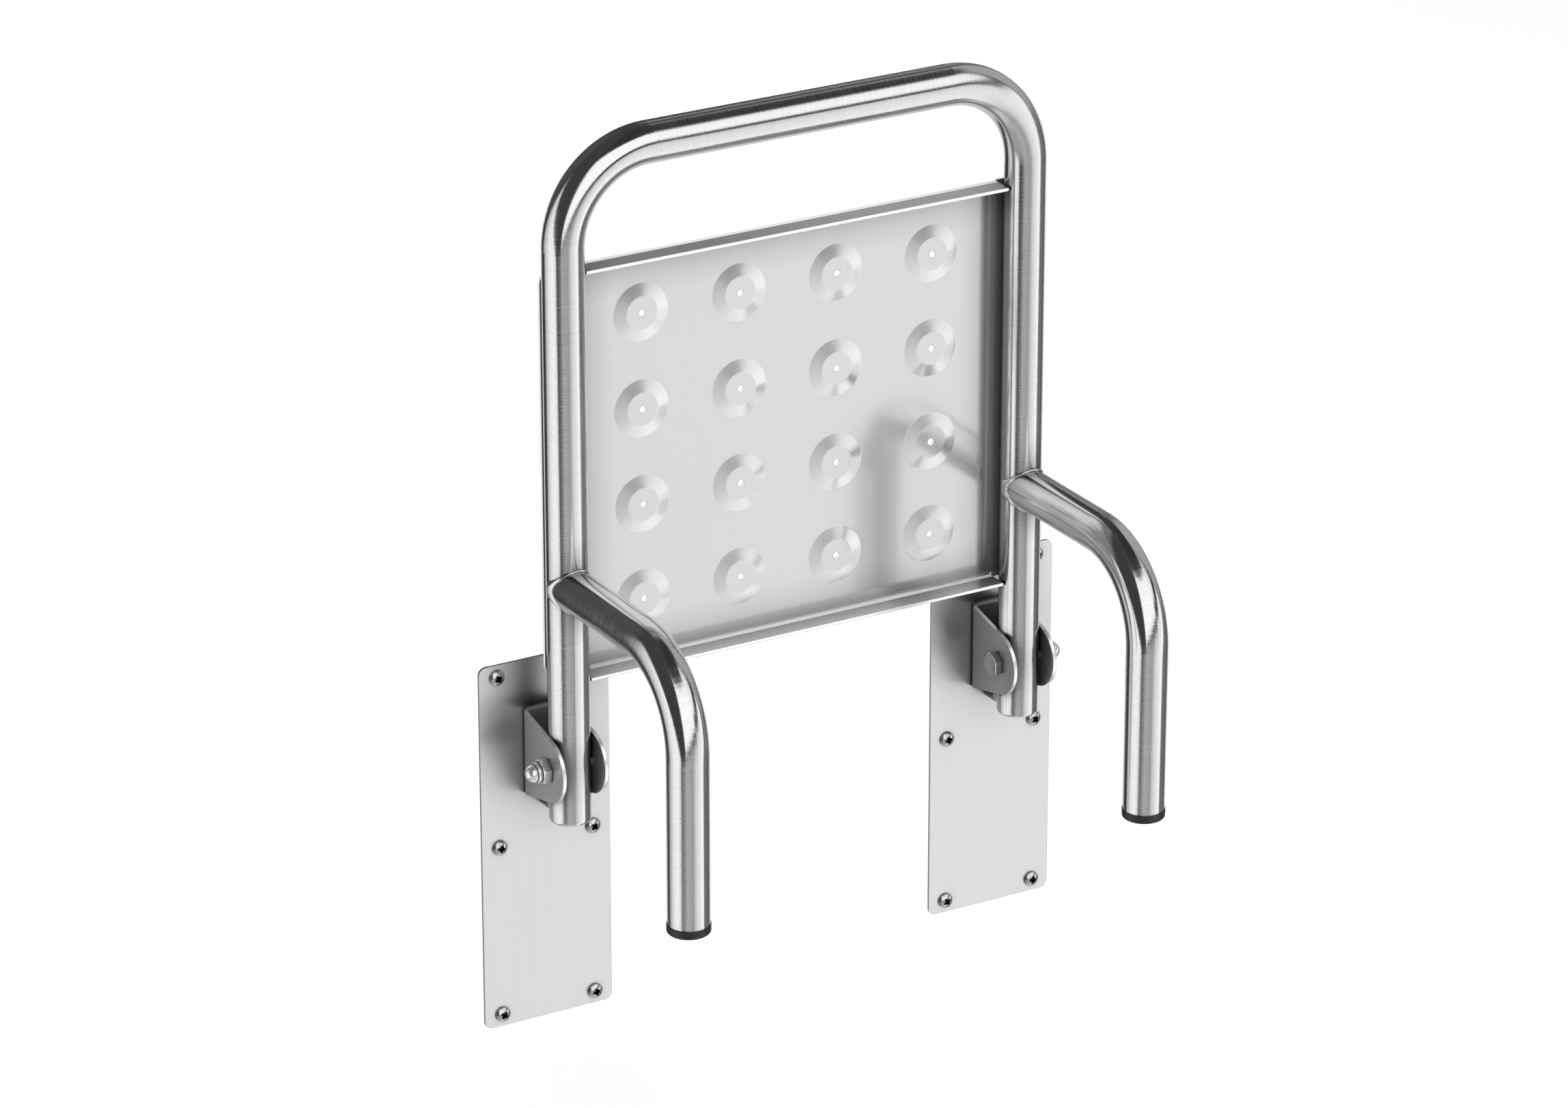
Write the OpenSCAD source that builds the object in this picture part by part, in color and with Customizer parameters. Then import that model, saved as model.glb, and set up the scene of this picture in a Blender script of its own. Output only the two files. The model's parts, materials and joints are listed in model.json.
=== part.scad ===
// Fold down wall seat in steel tube and sheet, shown folded up against the wall.
// X runs along the wall, +Y points into the wall and +Z is up. The origin is on the wall
// surface, midway between the two hinges and level with their pivot axis.

/* [Wall plates] */
// Width of one wall plate
plate_w = 110; // [105:1:120]
// Height of one wall plate
plate_h = 300; // [290:1:320]
// Thickness of the wall plates
plate_t = 2; // [1.5:0.1:2.2]
// Corner radius of the wall plates
plate_corner_r = 6; // [3:0.5:9]
// Height of the plate's top edge above the pivot axis
plate_rise = 75; // [70:1:85]
// Distance from the plate's side edge to a screw
screw_margin_x = 15; // [14:0.5:18]
// Distance from the plate's top or bottom edge to a screw
screw_margin_z = 10; // [9:0.5:14]

/* [Wall screws] */
// Shank diameter of the wall screws
screw_d = 6; // [5:0.1:6.5]
// Length of shank that goes into the wall
screw_reach = 20; // [15:1:24]
// How much slimmer the neck in the plate's hole is than the shank, on the radius
neck_cut = 0.4; // [0.2:0.1:0.8]
// Head diameter of the wall screws
screw_head_d = 12; // [11:0.1:13]
// Head height of the wall screws
screw_head_h = 4; // [3.6:0.1:4.8]
// Height of the straight rim under the head's dome
screw_rim_h = 1.7; // [1.4:0.1:2]
// Length across the cross recess
recess_l = 6.8; // [6:0.1:7.2]
// Width of one arm of the cross recess
recess_w = 1.8; // [1.4:0.1:2]
// Depth of the cross recess
recess_deep = 2.4; // [2:0.1:2.8]
// Clearance round a screw in its plate hole
screw_clear = 0.25; // [0.2:0.05:0.4]

/* [Hinge brackets] */
// Distance from the wall to the pivot axis
pivot_out = 41; // [40.5:0.5:44]
// Thickness of the bracket sheet
bracket_t = 3; // [2.5:0.1:3]
// Height of the bracket where it meets the plate
bracket_h = 70; // [68:1:76]
// Radius of the ears' round end about the pivot
ear_r = 25.5; // [24:0.5:27]
// Inner bend radius of the bracket
bracket_bend_r = 2; // [1:0.5:3]

/* [Stop pegs] */
// Diameter of the peg behind each lower tube end
peg_d = 12; // [10:0.5:13]
// Length of the peg in front of the plate
peg_l = 12; // [8:0.5:12]
// Distance of the peg's axis below the pivot axis
peg_drop = 41.5; // [41.5:0.5:44]

/* [Pivot bolts] */
// Diameter of the pivot bolts
bolt_d = 12; // [11:0.5:12]
// Width across the flats of bolt head and nut
hex_af = 18; // [17:0.5:19]
// Height of the bolt head
head_h = 6.5; // [6:0.5:8]
// Height of the hexagon of the dome nut
nut_hex_h = 7; // [6:0.5:8]
// How far the dome nut's hexagon is turned from corner up
nut_turn = 12; // [0:1:30]
// Diameter of the collar on the dome nut
nut_collar_d = 16; // [15.2:0.1:16.4]
// Height of that collar
nut_collar_h = 4; // [3:0.5:4.5]
// Diameter of the nut's dome
nut_dome_d = 14; // [13.5:0.1:14.5]
// Height of the whole dome nut
nut_h = 18; // [18:0.5:20]

/* [Seat frame] */
// Outer diameter of all the tubes
tube_d = 32; // [31:0.5:32]
// Wall thickness of the tubes
tube_wall = 1.5; // [1.2:0.1:2]
// Distance between the centres of the two side tubes
tube_spacing = 396; // [390:1:420]
// Height of the top tube's centre above the pivot axis
frame_rise = 480; // [470:1:500]
// Bend radius of the frame at the tube's centre
frame_bend_r = 70; // [60:1:72]
// Length of tube below the pivot axis
tube_below = 45; // [44:0.5:45]
// Thickness of the disc that closes each lower tube end
end_t = 2; // [1.5:0.1:3]
// Radius of the closed end's outer edge
end_edge_r = 3; // [1:0.2:4]
// How far the seat lifts on its bolts while it folds down
lift = 22; // [22:0.5:24]

/* [Seat panel] */
// Width of the seat panel
panel_w = 418; // [414:1:424]
// Height of the seat panel with its two flanges
panel_h = 325; // [320:1:330]
// Height of the panel's lower edge above the pivot axis
panel_rise = 66; // [60:1:72]
// Thickness of the panel sheet
panel_t = 2.5; // [2:0.1:3]
// Depth of the flanges, from the sitting face to their free edge
flange_deep = 23; // [20:0.5:28]
// Inner bend radius of the flanges
flange_bend_r = 1.5; // [1:0.5:2.5]
// Gap between a flange end and the tube beside it
flange_gap = 1; // [0.5:0.1:2]
// Radius of the panel's outer corners
panel_corner_r = 12; // [5:1:14]
// Width of the notch between a flange end and the flat panel beside it
notch_w = 1.5; // [1:0.5:3]
// Number of dimples in a row, and number of rows
dimple_count = 4; // [3:1:4]
// Distance between dimples along a row
dimple_pitch_x = 83.4; // [80:0.2:86]
// Distance between rows of dimples
dimple_pitch_z = 76; // [72:0.5:78]
// Outer diameter of a dimple
dimple_d = 46; // [42:0.5:48]
// Diameter of the flat floor of a dimple
dimple_floor_d = 26; // [22:0.5:28]
// How far a dimple's floor stands out of the sitting face
dimple_deep = 2.3; // [1.5:0.1:2.4]
// Diameter of the drain hole in a dimple
drain_d = 5.5; // [4.5:0.1:6]

/* [Braces] */
// Height of a brace's level part above the pivot axis
brace_rise = 146; // [140:1:152]
// Distance from the frame tube's centre to the brace's upright part
brace_depth = 180; // [176:1:186]
// Bend radius of the braces at the tube's centre
brace_bend_r = 70; // [60:1:80]
// Distance of the caps' lower face below the pivot axis
brace_drop = 63; // [61:0.5:63]
// Size of the weld bead between brace and frame
weld_s = 1.6; // [1.2:0.1:2.2]

/* [End caps] */
// How far the cap's rim stands out past the tube
cap_lip = 0.6; // [0.3:0.1:1]
// Height of the cap's visible rim
cap_h = 7; // [6:0.5:8]
// Radius of the rim's lower edge
cap_edge_r = 2.4; // [2:0.1:3]
// Length of the plug inside the tube
plug_l = 18; // [14:1:22]
// Wall thickness of the plug
plug_wall = 2; // [1.6:0.1:2.6]

/* [Clearances] */
// Radial running clearance of the bolts in ears and slots
run_clear = 0.05; // [0.02:0.01:0.08]
// Gap between a bracket ear and the tube beside it
ear_gap = 0.35; // [0.3:0.05:1]
// Gap between pieces that are seated or welded together
seat_clear = 0.05; // [0.02:0.01:0.1]
// Clearance round the plug in its tube
plug_clear = 0.1; // [0.05:0.05:0.2]

/* [Hidden] */

left = -1;
right = 1;
round_fn = 64;
bend_fn = 96;
dimple_fn = 40;
// Number of straight steps in a rounded profile
arc_steps = 6;
// Length by which a cutting body runs past what it cuts
over = plate_t;

tube_r = tube_d / 2;
bore_r = tube_r - tube_wall;
tube_x = tube_spacing / 2;
plate_front = -plate_t;
plate_mid_z = plate_rise - plate_h / 2;
ear_inner = tube_r + ear_gap;
ear_outer = ear_inner + bracket_t;
pivot_y = -pivot_out;
bolt_r = bolt_d / 2;
hex_r = hex_af / 2 / cos(30);
panel_front = pivot_y + tube_r + seat_clear;
panel_back = panel_front + panel_t;
panel_top = panel_rise + panel_h;
flange_w = tube_spacing - tube_d - 2 * flange_gap;
flange_outer_r = flange_bend_r + panel_t;
brace_y = pivot_y - brace_depth;
brace_foot = cap_h - brace_drop;
cope_r = tube_r + seat_clear;
// Share by which the weld bead is slimmer on the frame than on the brace
bead_share = 0.9;
// Share of the hexagon's corner left after its chamfer
chamfer_share = 0.95;
// Share of the peg's radius left at its chamfered end
peg_edge_share = 0.9;

// Moves right-hand children to the right tube, or mirrors them to the left one
module at_side(side) {
    mirror([side < 0 ? 1 : 0, 0, 0]) translate([tube_x, 0, 0]) children();
}

// Cylinder along X that starts at the origin
module rod_x(r, l) {
    rotate([0, 90, 0]) cylinder(r = r, h = l, $fn = round_fn);
}

// Cylinder along -Y that starts at the origin
module rod_out(r, l) {
    rotate([90, 0, 0]) cylinder(r = r, h = l, $fn = round_fn);
}

// Rectangle with rounded corners, centred on the origin
module rounded_rect(w, h, r) {
    square([w - 2 * r, h], center = true);
    square([w, h - 2 * r], center = true);
    for (x = [-1, 1], z = [-1, 1])
        translate([x * (w / 2 - r), z * (h / 2 - r)]) circle(r = r, $fn = round_fn);
}

// Sheet in the XZ plane whose front face is at y and whose back face is at y + t
module sheet_at(y, t) {
    translate([0, y + t, 0]) rotate([90, 0, 0]) linear_extrude(height = t) children();
}

// The six screw places of one plate
module at_screws() {
    dx = plate_w / 2 - screw_margin_x;
    dz = plate_h / 2 - screw_margin_z;
    for (x = [-dx, dx], z = [-dz, 0, dz])
        translate([x, 0, plate_mid_z + z]) children();
}

module wall_plate(side) {
    color("silver") at_side(side) difference() {
        translate([0, 0, plate_mid_z]) sheet_at(plate_front, plate_t)
            rounded_rect(plate_w, plate_h, plate_corner_r);
        at_screws() translate([0, over, 0])
            rod_out(screw_d / 2 + screw_clear, plate_t + 2 * over);
    }
}

// Pan head screw whose head rests on the plate's front face, with a slim neck in the hole
module wall_screw() {
    r = screw_head_d / 2;
    cap = screw_head_h - screw_rim_h;
    dome_r = (r * r + cap * cap) / (2 * cap);
    difference() {
        union() {
            translate([0, screw_reach, 0]) rod_out(screw_d / 2, screw_reach);
            rod_out(screw_d / 2 - neck_cut, plate_t + cap);
            intersection() {
                translate([0, plate_front, 0]) rod_out(r, screw_head_h);
                translate([0, plate_front - screw_head_h + dome_r, 0])
                    rotate([90, 0, 0]) sphere(r = dome_r, $fn = round_fn);
            }
        }
        translate([0, plate_front - screw_head_h + recess_deep / 2 - over / 2, 0])
            for (a = [0, 90]) rotate([0, a, 0])
                cube([recess_l, recess_deep + over, recess_w], center = true);
    }
}

module wall_screws(side) {
    color("gainsboro") at_side(side) at_screws() wall_screw();
}

// Outline of an ear in the plane of its sheet: x is the distance behind the pivot axis
module ear_outline() {
    base = pivot_out - plate_t;
    reach = norm([base, bracket_h / 2]);
    touch = atan2(bracket_h / 2, base) + acos(ear_r / reach);
    polygon([
        [base, -bracket_h / 2], [base, bracket_h / 2],
        ear_r * [cos(touch), sin(touch)], ear_r * [cos(touch), -sin(touch)]
    ]);
    circle(r = ear_r, $fn = round_fn);
}

// Plan of a channel open to the front: w wide, back at y = 0, with rounded back corners
module channel_plan(w, deep, r) {
    translate([-w / 2, -deep]) square([w, deep - r]);
    translate([r - w / 2, -deep]) square([w - 2 * r, deep]);
    for (x = [-1, 1])
        translate([x * (w / 2 - r), -r]) circle(r = r, $fn = round_fn);
}

module hinge_bracket(side) {
    deep = pivot_out - plate_t + ear_r + over;
    color("darkgray") at_side(side) difference() {
        intersection() {
            translate([0, plate_front, -bracket_h / 2]) linear_extrude(height = bracket_h)
                difference() {
                    channel_plan(2 * ear_outer, deep, bracket_bend_r + bracket_t);
                    translate([0, -bracket_t])
                        channel_plan(2 * ear_inner, deep, bracket_bend_r);
                }
            translate([-ear_outer - over, pivot_y, 0]) rotate([90, 0, 90])
                linear_extrude(height = 2 * (ear_outer + over)) ear_outline();
        }
        translate([-ear_outer - over, pivot_y, 0])
            rod_x(bolt_r + run_clear, 2 * (ear_outer + over));
    }
}

// Round stop on the plate, behind the lower end of the frame tube
module stop_peg(side) {
    r = peg_d / 2;
    edge = r * (1 - peg_edge_share);
    color("gray") at_side(side) translate([0, plate_front, -peg_drop]) {
        rod_out(r, peg_l - edge);
        translate([0, edge - peg_l, 0]) rotate([90, 0, 0])
            cylinder(r1 = r, r2 = r - edge, h = edge, $fn = round_fn);
    }
}

// Hexagon along X from the origin with a corner up, its far end chamfered
module hex_x(h) {
    edge = hex_r * (1 - chamfer_share);
    rotate([0, 90, 0]) intersection() {
        cylinder(r = hex_r, h = h, $fn = 6);
        union() {
            cylinder(r = hex_r + edge, h = h - edge, $fn = round_fn);
            translate([0, 0, h - edge])
                cylinder(r1 = hex_r + edge, r2 = hex_r - edge, h = edge, $fn = round_fn);
        }
    }
}

// Bolt with its head on the seat's inner side and its shank running outwards
module pivot_bolt(side) {
    seat = ear_outer + seat_clear;
    color("darkgray") at_side(side) translate([0, pivot_y, 0]) {
        translate([-seat, 0, 0]) mirror([1, 0, 0]) hex_x(head_h);
        translate([-seat, 0, 0]) rod_x(bolt_r, seat + ear_outer + nut_hex_h);
    }
}

module dome_nut(side) {
    dome_r = nut_dome_d / 2;
    body = nut_hex_h + nut_collar_h;
    ball_x = nut_h - dome_r;
    color("gainsboro") at_side(side) translate([ear_outer + seat_clear, pivot_y, 0])
        difference() {
            union() {
                rotate([nut_turn, 0, 0]) hex_x(nut_hex_h);
                rod_x(nut_collar_d / 2, body);
                rod_x(dome_r, ball_x);
                intersection() {
                    translate([ball_x, 0, 0]) sphere(r = dome_r, $fn = round_fn);
                    translate([ball_x, 0, 0]) rod_x(dome_r + over, dome_r + over);
                }
            }
            translate([-over, 0, 0]) rod_x(bolt_r + seat_clear, body + over);
        }
}

// Quarter of a bent bar of radius r: starts level along X at the top and ends pointing down
module quarter_bend(bend_r, r) {
    rotate([90, 0, 0]) rotate_extrude(angle = 90, $fn = bend_fn)
        translate([bend_r, 0]) circle(r = r, $fn = round_fn);
}

// Points of a turned outline from a flat foot, round its edge of radius e, up to radius r
function foot_edge(r, e) = [for (i = [0:arc_steps]) let (a = 90 * i / arc_steps)
    [r - e + e * sin(a), e - e * cos(a)]];

// Solid U of radius r: two uprights, two bends and the top bar. below is how far it goes down
module frame_bar(r, below) {
    bend_z = frame_rise - frame_bend_r;
    bend_x = tube_x - frame_bend_r;
    for (side = [left, right]) {
        translate([side * tube_x, 0, -below])
            cylinder(r = r, h = bend_z + below, $fn = round_fn);
        mirror([side < 0 ? 1 : 0, 0, 0]) translate([bend_x, 0, bend_z])
            quarter_bend(frame_bend_r, r);
    }
    translate([-bend_x, 0, frame_rise]) rod_x(r, 2 * bend_x);
}

// Slot along the tube that the pivot bolt runs in
module lift_slot() {
    r = bolt_r + run_clear;
    l = tube_d + 2 * over;
    translate([-l / 2, 0, 0]) {
        for (z = [0, -lift]) translate([0, 0, z]) rod_x(r, l);
        translate([0, -r, -lift]) cube([l, 2 * r, lift]);
    }
}

// Closed lower end of a side tube, with a rounded edge
module tube_end() {
    rotate_extrude($fn = round_fn)
        polygon(concat([[0, 0]], foot_edge(tube_r, end_edge_r), [[0, end_edge_r]]));
}

module seat_frame() {
    color("silver") translate([0, pivot_y, 0]) difference() {
        union() {
            frame_bar(tube_r, tube_below - end_edge_r);
            for (side = [left, right]) translate([side * tube_x, 0, -tube_below]) tube_end();
        }
        frame_bar(bore_r, tube_below - end_t);
        for (side = [left, right]) translate([side * tube_x, 0, 0]) lift_slot();
    }
}

// Shape of one dimple above y = 0: a turned cone with a flat floor
module dimple_form() {
    r = dimple_d / 2;
    rotate([90, 0, 0]) rotate_extrude($fn = dimple_fn) polygon([
        [0, -panel_t / 2], [r, -panel_t / 2], [r, 0], [dimple_floor_d / 2, dimple_deep],
        [0, dimple_deep]
    ]);
}

module at_dimples() {
    first = (dimple_count - 1) / 2;
    for (i = [0:dimple_count - 1], k = [0:dimple_count - 1])
        translate([(i - first) * dimple_pitch_x, 0,
            panel_rise + panel_h / 2 + (k - first) * dimple_pitch_z]) children();
}

// Section of the panel through its flanges: x is the distance in front of the sitting face
module panel_section() {
    r = flange_outer_r;
    difference() {
        union() {
            translate([0, r]) square([panel_t, panel_h - 2 * r]);
            translate([r, 0]) square([flange_deep - r, panel_t]);
            translate([r, panel_h - panel_t]) square([flange_deep - r, panel_t]);
            for (z = [r, panel_h - r]) translate([r, z]) circle(r = r, $fn = round_fn);
        }
        for (z = [r, panel_h - r]) translate([r, z]) circle(r = flange_bend_r, $fn = round_fn);
        translate([panel_t, r]) square([flange_deep, panel_h - 2 * r]);
        translate([r, panel_t]) square([flange_deep, panel_h - 2 * panel_t]);
    }
}

module seat_panel() {
    notched_w = flange_w + 2 * notch_w;
    color("lightgray") difference() {
        union() {
            translate([0, 0, panel_rise + panel_h / 2]) sheet_at(panel_front, panel_t)
                difference() {
                    rounded_rect(panel_w, panel_h, panel_corner_r);
                    for (z = [-1, 1]) translate([0, z * panel_h / 2])
                        square([notched_w, 2 * flange_outer_r], center = true);
                }
            translate([-flange_w / 2, panel_back, panel_rise]) rotate([90, 0, 90])
                mirror([1, 0]) linear_extrude(height = flange_w) panel_section();
            at_dimples() translate([0, panel_front, 0]) dimple_form();
        }
        at_dimples() {
            translate([0, panel_back, 0]) dimple_form();
            translate([0, panel_back + over, 0])
                rod_out(drain_d / 2, panel_t + dimple_deep + 2 * over);
        }
    }
}

// Solid brace of radius r: a level part, a bend and an upright part. back and down are how
// far it runs past the frame tube's centre and below its foot
module brace_bar(r, back, down) {
    bend_y = brace_y + brace_bend_r;
    bend_z = brace_rise - brace_bend_r;
    translate([0, pivot_y + back, brace_rise]) rod_out(r, pivot_y + back - bend_y);
    translate([0, bend_y, bend_z]) rotate([0, 0, -90]) quarter_bend(brace_bend_r, r);
    translate([0, brace_y, brace_foot - down])
        cylinder(r = r, h = bend_z - brace_foot + down, $fn = round_fn);
}

// Upright bar in place of the frame tube, longer than the joint with the brace
module frame_cope(r) {
    translate([0, pivot_y, brace_rise - tube_d]) cylinder(r = r, h = 2 * tube_d, $fn = round_fn);
}

module brace(side) {
    color("silver") at_side(side) difference() {
        brace_bar(tube_r, 0, 0);
        brace_bar(bore_r, tube_r, over);
        frame_cope(cope_r);
    }
}

// Weld bead where the brace meets the frame tube
module brace_weld(side) {
    bead_l = tube_r + 2 * weld_s;
    color("gainsboro") at_side(side) difference() {
        intersection() {
            translate([0, pivot_y, brace_rise])
                rod_out(tube_r + weld_s, bead_l);
            frame_cope(cope_r + weld_s * bead_share);
        }
        frame_cope(cope_r);
        translate([0, pivot_y, brace_rise]) rod_out(tube_r + seat_clear, bead_l + over);
    }
}

// Plastic cap: a rim under the tube's end and a hollow plug inside it
module end_cap(side) {
    r = tube_r + cap_lip;
    plug_r = bore_r - plug_clear;
    floor_z = cap_h - plug_wall;
    color("black") at_side(side) translate([0, brace_y, brace_foot - cap_h]) difference() {
        union() {
            rotate_extrude($fn = round_fn)
                polygon(concat([[0, 0]], foot_edge(r, cap_edge_r), [[r, cap_h], [0, cap_h]]));
            cylinder(r = plug_r, h = cap_h + plug_l, $fn = round_fn);
        }
        translate([0, 0, floor_z])
            cylinder(r = plug_r - plug_wall, h = plug_l + plug_wall + over, $fn = round_fn);
    }
}

wall_plate(left);  // wall_plate_left
wall_plate(right);  // wall_plate_right
wall_screws(left);  // wall_screws_left
wall_screws(right);  // wall_screws_right
hinge_bracket(left);  // hinge_bracket_left
hinge_bracket(right);  // hinge_bracket_right
stop_peg(left);  // stop_peg_left
stop_peg(right);  // stop_peg_right
pivot_bolt(left);  // pivot_bolt_left
pivot_bolt(right);  // pivot_bolt_right
dome_nut(left);  // dome_nut_left
dome_nut(right);  // dome_nut_right
seat_frame();
seat_panel();
brace(left);  // brace_left
brace(right);  // brace_right
brace_weld(left);  // brace_weld_left
brace_weld(right);  // brace_weld_right
end_cap(left);  // end_cap_left
end_cap(right);  // end_cap_right
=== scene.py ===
import json
from math import cos, pi, radians, sin, tan

import bmesh
import bpy
from mathutils import Matrix, Vector

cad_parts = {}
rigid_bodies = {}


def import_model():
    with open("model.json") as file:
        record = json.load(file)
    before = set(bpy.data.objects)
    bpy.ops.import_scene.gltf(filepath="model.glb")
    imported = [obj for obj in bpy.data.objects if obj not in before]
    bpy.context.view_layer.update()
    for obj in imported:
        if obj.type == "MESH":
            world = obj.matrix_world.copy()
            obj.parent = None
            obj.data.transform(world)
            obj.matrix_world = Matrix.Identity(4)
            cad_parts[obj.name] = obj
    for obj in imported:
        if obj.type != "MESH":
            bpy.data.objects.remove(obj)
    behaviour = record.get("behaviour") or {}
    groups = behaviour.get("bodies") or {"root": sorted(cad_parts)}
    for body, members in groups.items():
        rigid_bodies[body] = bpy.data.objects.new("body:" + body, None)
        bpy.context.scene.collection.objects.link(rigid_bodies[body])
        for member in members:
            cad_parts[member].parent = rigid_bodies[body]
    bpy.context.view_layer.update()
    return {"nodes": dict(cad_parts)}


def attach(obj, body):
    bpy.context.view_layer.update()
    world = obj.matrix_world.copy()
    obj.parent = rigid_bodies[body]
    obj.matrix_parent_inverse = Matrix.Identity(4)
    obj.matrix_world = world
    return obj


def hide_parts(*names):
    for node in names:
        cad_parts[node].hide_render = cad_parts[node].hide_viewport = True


# Fold down wall seat, folded up: packed steel frame dressed with its finishes.
# Metres, X along the wall, +Y into the wall, Z up from the pivot axis.

for leftover in list(bpy.data.objects):
    bpy.data.objects.remove(leftover)
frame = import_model()
nodes = frame["nodes"]
print("frame loaded:", len(nodes), "nodes")


# node helpers

def addNode(tree, kind, inputs=None, **settings):
    item = tree.nodes.new(kind)
    for name, value in settings.items():
        setattr(item, name, value)
    for key, value in (inputs or {}).items():
        if isinstance(value, bpy.types.NodeSocket):
            tree.links.new(value, item.inputs[key])
        else:
            item.inputs[key].default_value = value
    return item


def mathNode(tree, operation, *values):
    inputs = dict(enumerate(values))
    return addNode(tree, "ShaderNodeMath", inputs, operation=operation).outputs[0]


def grey(tone):
    return (tone, tone, tone, 1)


def mixColor(tree, factor, first, second):
    inputs = {0: factor, 6: first, 7: second}
    return addNode(tree, "ShaderNodeMix", inputs, data_type="RGBA").outputs[2]


def oneTone(tree, value):
    return addNode(tree, "ShaderNodeCombineColor", {0: value, 1: value, 2: value}).outputs[0]


def fitRange(tree, value, low, high, toLow=0.0, toHigh=1.0):
    return addNode(tree, "ShaderNodeMapRange",
                   {"Value": value, "From Min": low, "From Max": high,
                    "To Min": toLow, "To Max": toHigh}).outputs["Result"]


def toneRamp(tree, value, stops):
    item = addNode(tree, "ShaderNodeValToRGB", {"Fac": value})
    ramp = item.color_ramp
    while len(ramp.elements) > 1:
        ramp.elements.remove(ramp.elements[-1])
    for index, (place, tone) in enumerate(stops):
        stop = ramp.elements[0] if index == 0 else ramp.elements.new(place)
        stop.position = place
        stop.color = grey(tone)
    return item.outputs["Color"]


def newGroup(name, inputs, outputs):
    group = bpy.data.node_groups.new(name, "ShaderNodeTree")
    for label, kind, value in inputs:
        socket = group.interface.new_socket(name=label, in_out="INPUT", socket_type=kind)
        if value is not None:
            socket.default_value = value
    for label, kind in outputs:
        group.interface.new_socket(name=label, in_out="OUTPUT", socket_type=kind)
    return group, group.nodes.new("NodeGroupInput"), group.nodes.new("NodeGroupOutput")


def placeGroup(tree, group, inputs):
    return addNode(tree, "ShaderNodeGroup", inputs, node_tree=group)


def ownPlace(tree):
    return addNode(tree, "ShaderNodeTexCoord").outputs["Object"]


def ownDepth(tree):
    return addNode(tree, "ShaderNodeSeparateXYZ", {0: ownPlace(tree)}).outputs["Y"]


noiseSpan = (0.3, 0.7)  # where nearly all of a noise's values lie


def varied(tree, noise, middle, spread):
    return fitRange(tree, noise, *noiseSpan, middle - spread, middle + spread)


# camera

cameraView = {
    "place": (-2.3084, -3.9687, 2.0293),  # about 5 m from the seat
    "turn": -30.31,                       # degrees about Z, from looking along +Y
    "down": 22.64,                        # degrees below the horizon
    "lens": 150.16, "sensor": 36,         # millimetres
    "reach": 60,                          # metres
}


def makeCamera(view):
    data = bpy.data.cameras.new("camera")
    data.sensor_width = view["sensor"]
    data.sensor_fit = "HORIZONTAL"
    data.lens = view["lens"]
    data.clip_end = view["reach"]
    camera = bpy.data.objects.new("camera", data)
    bpy.context.scene.collection.objects.link(camera)
    camera.location = view["place"]
    camera.rotation_euler = (radians(90 - view["down"]), 0, radians(view["turn"]))
    bpy.context.scene.camera = camera


# light: a plain soft level for every finish, and a studio that only polished metal reflects

studio = {
    "level": 0.74,           # plain world light on diffuse surfaces
    "floorDrop": 0.45,       # floor below the pivot axis, at a seat's usual height
    "floorHalf": 9.0,
    "floorTone": 1.0, "floorRough": 0.9,
    "floorGlow": 0.09,       # only for the camera, so that the page stays white
    # bearings are in degrees from the camera, positive to its right
    "softbox": [(-180, 0.28), (-174, 0.28), (-168, 0.16), (-145, 0.14), (-132, 0.03),
                (-121, 0.04), (-115, 0.16), (-104, 0.62), (-92, 0.84), (-82, 1.02),
                (-73, 1.12), (-54, 1.20), (-40, 1.25), (0, 1.30), (60, 1.28), (92, 1.05),
                (104, 0.25), (112, 0.12), (150, 0.14), (180, 0.20)],
    "table": [(-180, 0.10), (-115, 0.10), (-100, 0.25), (-60, 0.45), (-18, 0.43), (-5, 0.54),
              (8, 0.50), (20, 0.45), (28, 0.43), (33, 0.60), (44, 0.86), (54, 0.98), (65, 1.05),
              (84, 1.31), (88, 1.25), (90.5, 0.20), (104, 0.17), (112, 0.24), (122, 0.12),
              (150, 0.14), (158, 0.28), (180, 0.28)],
    # the gap between table and softbox slopes: its edges as height = start + rise * bearing
    "gapLow": (-16.7, 0.32), "gapHigh": (-9.97, 0.41), "gapTone": 0.05,
    "lowFade": (-0.4, 0.6), "highFade": (-0.6, 0.4),
    # higher on the table, between these heights, its bright part starts further round
    "shiftHeights": (-20, 5), "tableShift": 18,
    # the left softbox's two sides lean: each fades between these values of bearing + lean * height
    "leftLean": 1.13, "leftSide": (-54.8, -57.8), "farLean": -0.35, "farSide": (-109, -101),
    "rightSide": (-9.5, -6.5),  # where the softbox overhead begins
    "softboxTop": (51, 54),    # heights between which the softbox fades
    "ceilingTone": 0.03,
    "nadirTone": 0.75, "nadirFrom": (-0.88, -0.96),  # straight down, by the direction's own Z
    "behindTone": 0.7, "behindFrom": (139, 147), "behindUnder": (-4, -10),
    "rearTones": (0.08, 0.45), "rearSides": (-10, 10), "rearFrom": (104, 116),
    "rearTo": (168, 158), "rearOver": (-6, 4), "rearTop": (54, 50),
}


def roundTheRoom(tree, bearing, stops):
    return toneRamp(tree, fitRange(tree, bearing, -180, 180),
                    [((place + 180) / 360, tone) for place, tone in stops])


def slopingEdge(tree, bearing, height, edge, fade):
    # 0 below a line whose height is start + rise * bearing, 1 above it
    start, rise = edge
    line = mathNode(tree, "MULTIPLY_ADD", bearing, rise, start)
    return fitRange(tree, mathNode(tree, "SUBTRACT", height, line), *fade)


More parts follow.
